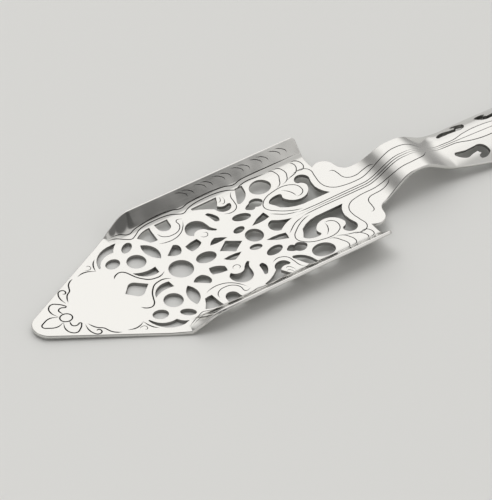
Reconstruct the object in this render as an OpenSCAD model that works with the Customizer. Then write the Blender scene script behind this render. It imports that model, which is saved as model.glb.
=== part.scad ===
// Absinthe spoon: one pierced and folded sheet, with a trowel tray, a bridged neck and a crowned handle.
// Millimetres. Drawn along X from the tray's shoulders, the tip towards -X, and then laid at rest.

/* [Sheet] */
// Thickness of the sheet
sheet_t = 1.0; // [0.8:0.1:1.4]

/* [Tray] */
// Length of the tray between the shoulders and its square back edge
tray_len = 59; // [56:1:64]
// Width of the flat floor between the two side bends
floor_w = 30.4; // [29:0.2:33]
// Width across the shoulders, where the pointed front begins
shoulder_w = 41; // [39:0.2:42]
// Length of the front from the shoulders to the rounded tip
front_len = 32.7; // [30:0.1:36]
// Radius of the rounded tip
tip_r = 4.3; // [3:0.1:5.5]
// Distance of the tip's gentle bend in front of the shoulders
tip_bend_in = 4.4; // [3.6:0.2:6]
// Angle by which the tip rises from the floor
tip_deg = 3.7; // [0.5:0.1:8]

/* [Sides] */
// Inner radius of the bend between floor and side
side_r = 4.5; // [3.5:0.1:5.5]
// Angle of the folded sides above the floor
side_deg = 44; // [36:1:52]
// Flat width of a side above its bend
side_flat = 4.55; // [3.5:0.05:6]
// Length over which the sides rise behind the shoulders
side_rise_len = 8.5; // [6:0.5:12]
// Radius of the rim's corner at the back
rim_corner_r = 1.2; // [0.5:0.1:2]

/* [Neck] */
// Width of the scalloped collar behind the tray
collar_w = 26.6; // [25:0.2:28]
// Length of the collar
collar_len = 7; // [6.5:0.1:8]
// Rise of each of the collar's two scallops above its chord
scallop_bow = 1.85; // [1.4:0.05:2.2]
// Length of the small notch between scallop and neck
notch_len = 1.6; // [1.2:0.1:2.2]
// Hollow of the notch below its chord
notch_bow = 0.36; // [0.1:0.02:0.5]
// Width of the neck where the collar ends
neck_w = 16.6; // [15.6:0.2:18]
// Width of the waist on top of the bridge
waist_w = 13.2; // [11:0.2:15]
// Height of the bridge above the floor
bridge_h = 4.3; // [3:0.1:6]
// Length of the climb from collar to crest
climb_len = 11.2; // [10:0.2:14]
// Length of the crest
crest_len = 1.8; // [1:0.1:3]
// Length of the fall from crest to handle
fall_len = 11.5; // [10:0.5:14]

/* [Handle] */
// Height of the handle's crown above the floor where the fall ends
grip_lift = 0.9; // [0.5:0.1:2]
// Length of the handle behind the fall
grip_len = 52.5; // [48:0.5:60]
// Greatest width of the handle
grip_w = 21.2; // [20:0.2:23]
// Length over which the handle widens from the waist
spread_len = 39; // [34:1:42]
// Downward slope of the handle in millimetres per millimetre
grip_slope = 0.05; // [0:0.01:0.1]
// Radius of the crown across the handle
crown_r = 11.8; // [11.4:0.2:18]
// Distance behind the crest where the crown starts to form
crown_in = 1.5; // [0.5:0.1:3]
// Length over which the crown forms
crown_len = 15.5; // [12:0.5:20]
// Length of the rounded end
end_len = 21; // [16:1:26]
// Distance from the fall's end to the middle of the pierced motif
motif_in = 13.1; // [12.8:0.1:15]

/* [Hidden] */

// Largest turn between two points of an arc, in degrees
arc_step = 22;
// Sides of a round hole
round_fn = 36;
// Length and half width of the tray, and width of the handle, for which the piercing was drawn
drawn_len = 59;
drawn_half = 15.2;
drawn_grip = 21.2;

// Number on a grid of 1/1024 mm, so that both solids at a joint get exactly the same number
function snap(v) = round(1024 * v) / 1024;

back_x = snap(tray_len);
floor_y = snap(floor_w / 2);
neck_y = snap(neck_w / 2);
shoulder_y = shoulder_w / 2;
rim_y = floor_y + side_r * sin(side_deg) + side_flat * cos(side_deg);
collar_end = back_x + snap(collar_len);
crest_x = collar_end + climb_len;
fall_x = crest_x + crest_len;
grip_x = fall_x + fall_len;
spoon_end = grip_x + grip_len;
motif_x = grip_x + motif_in;

// Scale of the tray's piercing along and across, of its round and oval holes, and of the handle's motif
along_k = tray_len / drawn_len;
across_k = floor_w / 2 / drawn_half;
round_k = min(along_k, across_k);
motif_k = grip_w / drawn_grip;

// Half angle of the pointed front, with its two edges tangent to the tip's circle
tip_x = tip_r - front_len;
tip_reach = norm([tip_x, shoulder_y]);
front_deg = atan(shoulder_y / -tip_x) - asin(tip_r / tip_reach);

// Share of the way from 0 to 1 with a level start and end
function ease(t) = (1 - cos(180 * min(1, max(0, t)))) / 2;

// Points of the arc from p to q, without q, that stands off the chord by p's third value
function stretch(p, q) =
    let (d = [q.x - p.x, q.y - p.y], c = norm(d), turn = 4 * atan(2 * p.z / c))
    abs(turn) < 1 ? [[p.x, p.y]] :
    let (
        r = c / 2 / sin(turn / 2),
        m = [p.x + d.x / 2, p.y + d.y / 2] - [d.y, -d.x] / c * r * cos(turn / 2),
        a = atan2(p.y - m.y, p.x - m.x),
        n = ceil(abs(turn) / arc_step)
    )
    [for (i = [0:n - 1]) m + abs(r) * [cos(a + turn * i / n), sin(a + turn * i / n)]];

// Closed outline through corners [x, y, bow], counterclockwise, where bow bulges outwards
function outline(v) = [for (i = [0:len(v) - 1]) each stretch(v[i], v[(i + 1) % len(v)])];

// Point of the piercing, moved with the tray's size
function on_tray(p) = [p.x * along_k, p.y * across_k];

// Oval about a centre, with half axes a and b, turned by deg
function oval(c, a, b, deg) =
    [for (i = [0:17]) c + [a * cos(20 * i) * cos(deg) - b * sin(20 * i) * sin(deg),
                           a * cos(20 * i) * sin(deg) + b * sin(20 * i) * cos(deg)]];

module cut(v) polygon([for (p = outline(v)) on_tray(p)]);

module round_cut(c, r) translate(on_tray(c)) circle(r * round_k, $fn = round_fn);

module oval_cut(c, a, b, deg = 0) polygon(oval(on_tray(c), a * round_k, b * round_k, deg));

module both_sides() {
    children();
    mirror([0, 1]) children();
}

// Openings at the front: crescents, ovals and round holes fanned about the diamond
module front_piercing() {
    cut([[0.4, 0, 0], [-2.2, 2.3, 0.35], [-4.2, 2.3, 0], [-6.4, 0, 0], [-4.2, -2.3, 0.35], [-2.2, -2.3, 0]]);
    both_sides() {
        cut([[1.5, 16.8, 2.3], [-6.9, 11.3, 0.2], [-6.4, 11.3, -1.15], [-0.7, 14.4, -0.2]]);
        oval_cut([-3.1, 10.9], 2.05, 1.65, 15);
        round_cut([2.3, 8.4], 2.5);
        oval_cut([3.0, 14.0], 2.05, 1.2, 38);
        cut([[5.2, 4.3, -0.65], [-0.8, 5.3, 1.4], [5.0, 2.1, 0]]);
        cut([[8.0, 6.0, 1.9], [6.3, 12.9, 1.3]]);
    }
}

// Openings along the middle: round holes, leaves and a teardrop that points to the neck
module middle_piercing() {
    round_cut([10.1, 0], 3.2);
    oval_cut([17.6, 0], 2.8, 1.9);
    cut([[28.4, 0, 0], [25.4, 2.0, 0.3], [24.4, 2.0, 0], [21.6, 0, 0], [24.4, -2.0, 0.3], [25.4, -2.0, 0]]);
    round_cut([32.1, 0], 2.4);
    cut([[43.6, 0, -0.3], [38.8, 2.2, 2.1], [38.8, -2.2, -0.3]]);
    both_sides() {
        cut([[9.9, 5.9, 0.5], [13.0, 4.7, 0.4], [14.3, 7.2, 0.3], [13.1, 8.4, 0.1]]);
        cut([[15.4, 6.2, 0.2], [15.9, 3.7, 0.4], [19.6, 5.2, 0.1], [19.3, 7.0, 0.2]]);
        cut([[20.8, 3.0, 0.3], [26.0, 3.2, 0.1], [23.2, 4.8, 0.3]]);
        oval_cut([30.0, 3.8], 1.7, 1.0, 10);
        cut([[33.6, 3.2, 0.3], [39.1, 3.6, 0.1], [38.7, 5.8, 0.3]]);
    }
}

// Openings along the folds: arches, the bowl, the comma, the leaf and the cloud
module side_piercing() both_sides() {
    cut([[9.0, 12.3, 0.1], [11.1, 12.1, 0], [11.6, 16.9, 0.4], [7.0, 15.5, -0.15]]);
    cut([[17.0, 17.0, 0], [13.1, 17.0, 0], [13.3, 15.3, 1.6], [16.9, 15.3, 0]]);
    cut([[25.6, 7.3, -0.15], [24.5, 9.0, 0.1], [24.1, 11.4, 1.7], [18.7, 11.4, 0.2], [18.3, 9.3, 0.1],
         [19.4, 8.2, -0.9], [23.0, 8.9, 0.2], [25.1, 6.9, 0.1]]);
    cut([[27.9, 9.5, 0.25], [28.3, 11.3, 0.15], [27.0, 13.4, 0.1], [26.1, 13.3, -0.1], [26.8, 9.9, 0.15]]);
    cut([[31.8, 17.0, 0], [24.2, 16.9, 0.1], [24.3, 16.3, -0.3], [29.3, 13.6, 0.6], [31.5, 11.4, 0.65],
         [33.8, 13.4, 0.15], [32.9, 13.6, -0.5], [30.4, 14.3, 0.15]]);
    cut([[39.7, 17.0, 0], [37.6, 17.0, 0], [35.3, 12.4, 0.2], [35.8, 11.7, 1.2]]);
    cut([[41.2, 10.0, 0.6], [38.6, 11.4, 0.15], [37.6, 10.6, 0.2], [35.7, 9.4, 0.2], [36.4, 8.5, 0.55],
         [38.3, 8.7, 0.5], [40.4, 8.8, 0.2]]);
    oval_cut([33.2, 7.4], 2.5, 1.35, -12);
    cut([[41.4, 11.7, 0.1], [44.2, 11.7, 0.45], [46.6, 14.3, 0.35], [45.1, 16.6, 0], [42.0, 16.6, 0.1],
         [40.4, 12.7, 0.2]]);
}

// The pair of large C-scrolls beside the neck's root
module scroll_piercing() both_sides()
    cut([[57.2, 2.7, -0.4], [55.2, 6.6, -0.2], [56.0, 10.4, 1.75], [52.0, 11.2, 0.3], [52.5, 9.9, -0.4],
         [53.9, 8.3, -3.0], [46.0, 7.4, -0.1], [46.4, 8.7, 0.2], [45.6, 9.3, 0.15], [43.3, 9.0, 0.25],
         [41.8, 7.6, -0.1], [43.4, 4.9, 0.45], [49.0, 2.8, 0]]);

module tray_piercing() {
    front_piercing();
    middle_piercing();
    side_piercing();
    scroll_piercing();
}

// One hooked opening of the handle, measured from the middle of its motif
module hook_cut() polygon(outline([
    [-11.3, 3.4, -0.3], [-5.2, 3.6, 1.1], [-2.0, 6.3, 0.4], [-5.0, 7.2, 0.35], [-5.4, 6.2, -0.1],
    [-4.5, 5.7, 0.25], [-5.3, 5.15, -0.1], [-8.6, 5.85, 0.3], [-11.7, 4.4, 0.3]
]));

module handle_piercing() translate([motif_x, 0]) scale(motif_k) both_sides() {
    hook_cut();
    mirror([1, 0]) hook_cut();
}

// Flat floor of the tray with the two scallops of the collar
module floor_outline() polygon(outline([
    [0, -floor_y, 0],
    [back_x, -floor_y, 0],
    [back_x, -collar_w / 2, scallop_bow],
    [collar_end - notch_len, -(collar_w + neck_w) / 4, -notch_bow],
    [collar_end, -neck_y, 0],
    [collar_end, neck_y, -notch_bow],
    [collar_end - notch_len, (collar_w + neck_w) / 4, scallop_bow],
    [back_x, collar_w / 2, 0],
    [back_x, floor_y, 0],
    [0, floor_y, 0],
]));

// Closed skin between a grid of top points and the same grid underneath
module skin(top, under) {
    rows = len(top);
    cols = len(top[0]);
    low = rows * cols;
    quad = function(a, b, c, d) [[a, b, c], [a, c, d]];
    faces = [
        for (i = [0:rows - 2], j = [0:cols - 2]) let (k = i * cols + j)
            each quad(k, k + 1, k + cols + 1, k + cols),
        for (i = [0:rows - 2], j = [0:cols - 2]) let (k = low + i * cols + j)
            each quad(k, k + cols, k + cols + 1, k + 1),
        for (i = [0:rows - 2]) let (k = i * cols)
            each quad(k, k + cols, low + k + cols, low + k),
        for (i = [0:rows - 2]) let (k = i * cols + cols - 1)
            each quad(k, low + k, low + k + cols, k + cols),
        for (j = [0:cols - 2])
            each quad(j, low + j, low + j + 1, j + 1),
        for (j = [0:cols - 2]) let (k = (rows - 1) * cols + j)
            each quad(k, k + 1, low + k + 1, low + k),
    ];
    polyhedron([for (row = top) each row, for (row = under) each row], faces, convexity = 6);
}

// Point of a side's section, s along the sheet from the floor's edge, at depth d below the top face
function side_point(s, deg, d) =
    let (turned = min(deg, s / side_r * 180 / PI), rest = max(0, s - side_r * deg * PI / 180))
    [floor_y + (side_r + d) * sin(turned) + rest * cos(deg),
     sheet_t + side_r - (side_r + d) * cos(turned) + rest * sin(deg)];

function side_angle(x) = side_deg * sin(90 * min(1, x / side_rise_len));

// Width of a side along the sheet, from the shoulder to its full reach and round the back corner
function side_width(x) =
    let (
        deg = side_angle(x),
        reach = shoulder_y + (rim_y - shoulder_y) * sin(90 * min(1, x / side_rise_len)),
        flat = (reach - floor_y - side_r * sin(deg)) / cos(deg),
        over = max(0, x - back_x + rim_corner_r)
    )
    side_r * deg * PI / 180 + flat - rim_corner_r + sqrt(max(0, rim_corner_r ^ 2 - over ^ 2));

// One folded side, lofted along the tray from the shoulder to the back edge
module side() {
    bend = side_r * side_deg * PI / 180;
    along = [
        for (i = [0:8]) side_rise_len * i / 8,
        for (i = [0:4]) back_x - rim_corner_r + rim_corner_r * sin(18 * i),
        back_x
    ];
    grid = function(d) [for (x = along)
        [for (s = [for (j = [0:6]) bend * j / 6, side_width(x)])
            let (q = side_point(s, side_angle(x), d)) [x, q.x, q.y]]];
    skin(grid(0), grid(sheet_t));
}

// Height of the sheet's crown line above the floor along the neck and handle
function lift(x) =
    bridge_h * ease((x - collar_end) / climb_len)
    - (bridge_h - grip_lift) * ease((x - fall_x) / fall_len)
    - grip_slope * max(0, x - grip_x);

function crown(x) = ease((x - fall_x - crown_in) / crown_len) / (2 * crown_r);

function top_point(x, y) = [x, y, sheet_t + lift(x) - crown(x) * y ^ 2];

// Point of the underside, one sheet thickness square below the top point
function under_point(x, y) =
    let (
        e = 0.05,
        along = top_point(x + e, y) - top_point(x - e, y),
        across = top_point(x, y + e) - top_point(x, y - e),
        n = cross(along, across)
    )
    top_point(x, y) - sheet_t * n / norm(n);

// Half width of the neck and handle at x
function half_width(x) =
    let (
        neck = (neck_y - waist_w / 2) * max(0, 1 - (x - collar_end) / climb_len) ^ 2,
        spread = (grip_w - waist_w) / 2 * ease((x - fall_x) / spread_len),
        past = max(0, x - spoon_end + end_len) / end_len
    )
    (waist_w / 2 + neck + spread) * sqrt(max(0, 1 - past ^ 2));

// Stations along the neck and handle, closer where the sheet bends and at the rounded end
function stations() = [
    for (i = [0:11]) collar_end + climb_len * i / 12,
    for (i = [0:14]) crest_x + (grip_x - crest_x) * i / 15,
    for (i = [0:11]) grip_x + (grip_len - end_len) * i / 12,
    for (i = [0:11]) spoon_end - end_len + end_len * sin(7.9 * i)
];

module neck_and_handle() difference() {
    grid = function(point) [for (x = stations())
        [for (j = [-9:9]) let (y = half_width(x) * j / 9) point(x, y)]];
    skin(
        grid(function(x, y) top_point(x, y)),
        grid(function(x, y) x > collar_end ? under_point(x, y) : [x, y, 0])
    );
    translate([0, 0, -grip_w]) linear_extrude(2 * grip_w) handle_piercing();
}

// Half width of the pointed front: straight edges that run tangent into the tip's circle
function front_half(x) =
    x > tip_x - tip_r * sin(front_deg)
        ? shoulder_y + x * tan(front_deg)
        : sqrt(max(0, tip_r ^ 2 - (x - tip_x) ^ 2));

// The pointed front, level up to its bend line and then rising to the tip
module front() {
    round_from = 90 - front_deg;
    along = [0, -tip_bend_in, for (i = [0:9]) tip_x - tip_r * cos(round_from * (1 - i / 9.5))];
    grid = function(z) [for (i = [len(along) - 1:-1:0]) let (x = along[i], y = front_half(x))
        let (rise = max(0, -tip_bend_in - x) * tan(tip_deg)) [[x, -y, z + rise], [x, y, z + rise]]];
    skin(grid(sheet_t), grid(0));
}

module tray() difference() {
    union() {
        front();
        linear_extrude(sheet_t) floor_outline();
        side();
        mirror([0, 1, 0]) side();
    }
    translate([0, 0, -sheet_t]) linear_extrude(side_r + 2 * sheet_t) tray_piercing();
}

// The lowest edges of the crowned handle and the angle that brings them to the table
low_x = spoon_end - end_len;
low_z = under_point(low_x, half_width(low_x)).z;
rest_deg = atan(-low_z / (low_x + tip_bend_in));

// Ends of the spoon as it lies, measured along the table
tip_end = -front_len * cos(rest_deg) - (sheet_t + (front_len - tip_bend_in) * tan(tip_deg)) * sin(rest_deg);
far_end = spoon_end * cos(rest_deg) - lift(spoon_end) * sin(rest_deg);

module spoon() color("silver")
    translate([-(tip_end + far_end) / 2, 0, tip_bend_in * sin(rest_deg)]) rotate([0, -rest_deg, 0]) {
        tray();
        neck_and_handle();
    }

spoon();
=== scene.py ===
"""Absinthe spoon in polished stainless steel, made the way the real one is made.

A flat blank is cut out and pierced, its ornament is struck into the upper face, and the sheet is
then folded up at the sides, raised into a bridge at the neck and crowned along the handle.
"""

import logging
import math
from dataclasses import dataclass
from enum import Enum

import bmesh
import bpy
import numpy as np
from bmesh.types import BMEdge, BMesh, BMFace, BMVert
from bpy.types import Material, Mesh, Node, NodeSocket, NodeTree, Object, bpy_prop_collection
from mathutils import Matrix, Vector

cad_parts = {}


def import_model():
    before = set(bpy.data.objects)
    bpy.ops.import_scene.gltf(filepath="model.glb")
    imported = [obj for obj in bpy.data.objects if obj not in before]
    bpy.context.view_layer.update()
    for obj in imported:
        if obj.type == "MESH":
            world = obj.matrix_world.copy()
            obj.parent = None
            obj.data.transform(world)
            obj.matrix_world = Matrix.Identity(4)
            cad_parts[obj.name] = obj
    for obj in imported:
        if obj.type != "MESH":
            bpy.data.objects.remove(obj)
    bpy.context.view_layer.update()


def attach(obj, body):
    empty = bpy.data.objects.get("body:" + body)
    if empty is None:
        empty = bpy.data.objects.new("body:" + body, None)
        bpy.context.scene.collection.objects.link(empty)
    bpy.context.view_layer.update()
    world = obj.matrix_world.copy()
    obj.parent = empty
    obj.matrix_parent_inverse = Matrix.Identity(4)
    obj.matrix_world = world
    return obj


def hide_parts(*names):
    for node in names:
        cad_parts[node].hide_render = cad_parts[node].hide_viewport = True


LOG = logging.getLogger("spoon")

# The x and y of a point, after which a corner also has its bow
Point = tuple[float, ...]
Path = tuple[Point, ...]
Place = tuple[float, float, float]
Values = dict[str | int, object]
Links = dict[str | int, NodeSocket]

# Metres in a millimetre
MM = 0.001
# Distance in millimetres within which two points of the sheet are one
WELD = 1e-4


class Solver(Enum):
    """Boolean solvers, by how the cutters meet."""

    APART = "EXACT"
    CROSSING = "MANIFOLD"


class Run(Enum):
    """Ways in which a scored line runs over the flat sheet, by the direction square to it."""

    ACROSS = (1, 0, 0)
    ALONG = (0, 1, 0)


@dataclass(frozen=True)
class SheetForm:
    """Sizes of the formed sheet in millimetres, measured along x from the tray's shoulders.

    They are the sizes of the solid model, so the dressed sheet lies just inside it.
    """

    sheet: float = 1.0
    # Tray, with its pointed front and its two folded sides
    tray_len: float = 59.0
    floor_half: float = 15.2
    shoulder_half: float = 20.5
    front_len: float = 32.7
    tip_r: float = 4.3
    tip_bend: float = 4.4
    tip_deg: float = 3.7
    side_r: float = 4.5
    side_deg: float = 44.0
    side_flat: float = 4.55
    side_rise: float = 8.5
    rim_corner: float = 1.2
    # Scalloped collar and bridged neck
    collar_half: float = 13.3
    collar_len: float = 7.0
    scallop_bow: float = 1.85
    notch_len: float = 1.6
    notch_bow: float = 0.36
    neck_half: float = 8.3
    waist_half: float = 6.6
    bridge_h: float = 4.3
    climb: float = 11.2
    crest: float = 1.8
    fall: float = 11.5
    # Crowned handle
    grip_lift: float = 0.9
    grip_len: float = 52.5
    grip_half: float = 10.6
    spread: float = 39.0
    grip_slope: float = 0.05
    crown_r: float = 11.8
    crown_in: float = 1.5
    crown_len: float = 15.5
    end_len: float = 21.0
    # Turn and shift that lay it on the table, with its middle above the origin
    rest_deg: float = 2.34647
    rest_lift: float = 0.180145
    middle: float = 55.0811

    @property
    def collar_end(self) -> float:
        """Where the collar ends and the neck begins."""
        return self.tray_len + self.collar_len

    @property
    def fall_x(self) -> float:
        """Where the bridge begins to fall."""
        return self.collar_end + self.climb + self.crest

    @property
    def grip_x(self) -> float:
        """Where the handle begins."""
        return self.fall_x + self.fall

    @property
    def end_x(self) -> float:
        """The handle's far end."""
        return self.grip_x + self.grip_len

    @property
    def tip_x(self) -> float:
        """Centre of the tip's circle."""
        return self.tip_r - self.front_len

    @property
    def front_deg(self) -> float:
        """Angle of the front's edges, tangent to the tip's circle."""
        sine = self.tip_r / math.hypot(self.tip_x, self.shoulder_half)
        return math.degrees(math.atan2(self.shoulder_half, -self.tip_x) - math.asin(sine))

    @staticmethod
    def ease(t: np.ndarray) -> np.ndarray:
        """Share of the way from 0 to 1 with a level start and end."""
        return (1 - np.cos(np.pi * np.clip(t, 0, 1))) / 2

    def lift(self, x: np.ndarray) -> np.ndarray:
        """Height of the crown line above the floor along the neck and handle.

        Args:
            x: places along the spoon.

        Returns:
            The height at each place.
        """
        climb = self.bridge_h * self.ease((x - self.collar_end) / self.climb)
        fall = (self.bridge_h - self.grip_lift) * self.ease((x - self.fall_x) / self.fall)
        return climb - fall - self.grip_slope * np.maximum(0, x - self.grip_x)

    def crown(self, x: np.ndarray) -> np.ndarray:
        """Curvature of the sheet across the handle."""
        return self.ease((x - self.fall_x - self.crown_in) / self.crown_len) / (2 * self.crown_r)

    def half_width(self, x: np.ndarray) -> np.ndarray:
        """Half width of the neck and handle.

        Args:
            x: places along the spoon.

        Returns:
            The half width at each place, down to 0 at the handle's rounded end.
        """
        narrowing = np.maximum(0, 1 - (x - self.collar_end) / self.climb) ** 2
        neck = (self.neck_half - self.waist_half) * narrowing
        spread = (self.grip_half - self.waist_half) * self.ease((x - self.fall_x) / self.spread)
        past = np.maximum(0, x - self.end_x + self.end_len) / self.end_len
        return (self.waist_half + neck + spread) * np.sqrt(np.maximum(0, 1 - past**2))

    def side_angle(self, x: np.ndarray) -> np.ndarray:
        """Fold angle of the sides in radians."""
        share = np.clip(x / self.side_rise, 0, 1)
        return math.radians(self.side_deg) * np.sin(np.pi / 2 * share)

    def side_width(self, x: float) -> float:
        """Width of a side along the sheet, rounded off at the back corner.

        Args:
            x: place along the tray.

        Returns:
            The width from the floor's edge to the rim.
        """
        angle = float(self.side_angle(np.float64(x)))
        full = math.radians(self.side_deg)
        rim = self.floor_half + self.side_r * math.sin(full) + self.side_flat * math.cos(full)
        share = math.sin(math.pi / 2 * min(1, x / self.side_rise))
        reach = self.shoulder_half + (rim - self.shoulder_half) * share
        flat = (reach - self.floor_half - self.side_r * math.sin(angle)) / math.cos(angle)
        over = max(0.0, x - self.tray_len + self.rim_corner)
        corner = math.sqrt(max(0.0, self.rim_corner**2 - over**2))
        return self.side_r * angle + flat - self.rim_corner + corner

    def formed(self, flat: np.ndarray) -> np.ndarray:
        """Bends points of the flat blank into the spoon at rest.

        Args:
            flat: rows of x, distance from the axis along the sheet, and height in the sheet, in
                millimetres.

        Returns:
            Rows of x, y, z of the spoon at rest, in metres.
        """
        x, v, depth = flat[:, 0], flat[:, 1], self.sheet - flat[:, 2]
        along = np.abs(v) - self.floor_half
        bend = self.side_angle(x)
        turned = np.clip(along / self.side_r, 0, bend)
        rest = np.maximum(0, along - self.side_r * bend)
        radius = self.side_r + depth
        folded_y = self.floor_half + radius * np.sin(turned) + rest * np.cos(bend)
        folded_z = self.sheet + self.side_r - radius * np.cos(turned) + rest * np.sin(bend)
        y = np.where(along > 0, folded_y, np.abs(v)) * np.sign(v)
        z = np.where(along > 0, folded_z, self.sheet - depth)
        raised = np.maximum(0, -self.tip_bend - x) * math.tan(math.radians(self.tip_deg))
        behind = (x > self.collar_end)[:, None]
        bent = np.where(behind, self.handle_point(x, v, depth), np.stack([x, y, z + raised], 1))
        c, s = math.cos(math.radians(self.rest_deg)), math.sin(math.radians(self.rest_deg))
        laid = bent @ np.array([[c, 0, s], [0, 1, 0], [-s, 0, c]])
        return (laid + [-self.middle, 0, self.rest_lift]) * MM

    def handle_point(self, x: np.ndarray, y: np.ndarray, depth: np.ndarray) -> np.ndarray:
        """Points of the neck and handle, each at its depth square below the top face.

        Args:
            x: places along the spoon.
            y: distances from the axis.
            depth: depths below the top face.

        Returns:
            Rows of x, y, z in millimetres.
        """
        step = 0.02

        def top(px: np.ndarray, py: np.ndarray) -> np.ndarray:
            """Top face above a point of the plan."""
            return np.stack([px, py, self.sheet + self.lift(px) - self.crown(px) * py**2], 1)

        along = top(x + step, y) - top(x - step, y)
        across = top(x, y + step) - top(x, y - step)
        normal = np.cross(along, across)
        normal /= np.linalg.norm(normal, axis=1, keepdims=True)
        return top(x, y) - normal * depth[:, None]


def arc(start: Point, end: Point, step_deg: float = 12.0) -> list[Point]:
    """Points from one corner towards the next, on an arc that stands off the chord.

    Args:
        start: corner x, y and the arc's bow, outwards when positive.
        end: the next corner.
        step_deg: largest turn between two points.

    Returns:
        The points, without the end.
    """
    if start[2] == 0:
        return [(start[0], start[1])]
    dx, dy = end[0] - start[0], end[1] - start[1]
    chord = math.hypot(dx, dy)
    turn = 4 * math.atan(2 * start[2] / chord)
    radius = chord / 2 / math.sin(turn / 2)
    mx = start[0] + dx / 2 - dy / chord * radius * math.cos(turn / 2)
    my = start[1] + dy / 2 + dx / chord * radius * math.cos(turn / 2)
    first = math.atan2(start[1] - my, start[0] - mx)
    count = max(1, math.ceil(abs(turn) / math.radians(step_deg)))
    turns = [first + turn * i / count for i in range(count)]
    return [(mx + abs(radius) * math.cos(t), my + abs(radius) * math.sin(t)) for t in turns]


def outline(corners: Path) -> list[Point]:
    """Closed counterclockwise outline through corners with bows."""
    return [p for i, c in enumerate(corners) for p in arc(c, corners[(i + 1) % len(corners)])]


def oval(x: float, y: float, a: float, b: float, deg: float = 0.0, count: int = 36) -> list[Point]:
    """Oval about a centre.

    Args:
        x: the centre's x.
        y: the centre's y.
        a: half axis that lies along x before the turn.
        b: the other half axis.
        deg: turn of the oval.
        count: number of points.

    Returns:
        Its points, counterclockwise.
    """
    c, s = math.cos(math.radians(deg)), math.sin(math.radians(deg))
    turns = [2 * math.pi * i / count for i in range(count)]
    ring = [(a * math.cos(t), b * math.sin(t)) for t in turns]
    return [(x + u * c - v * s, y + u * s + v * c) for u, v in ring]


def mirrored(points: list[Point]) -> list[Point]:
    """The outline on the other side of the long axis, still counterclockwise."""
    return [(x, -y) for x, y in reversed(points)]


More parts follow.
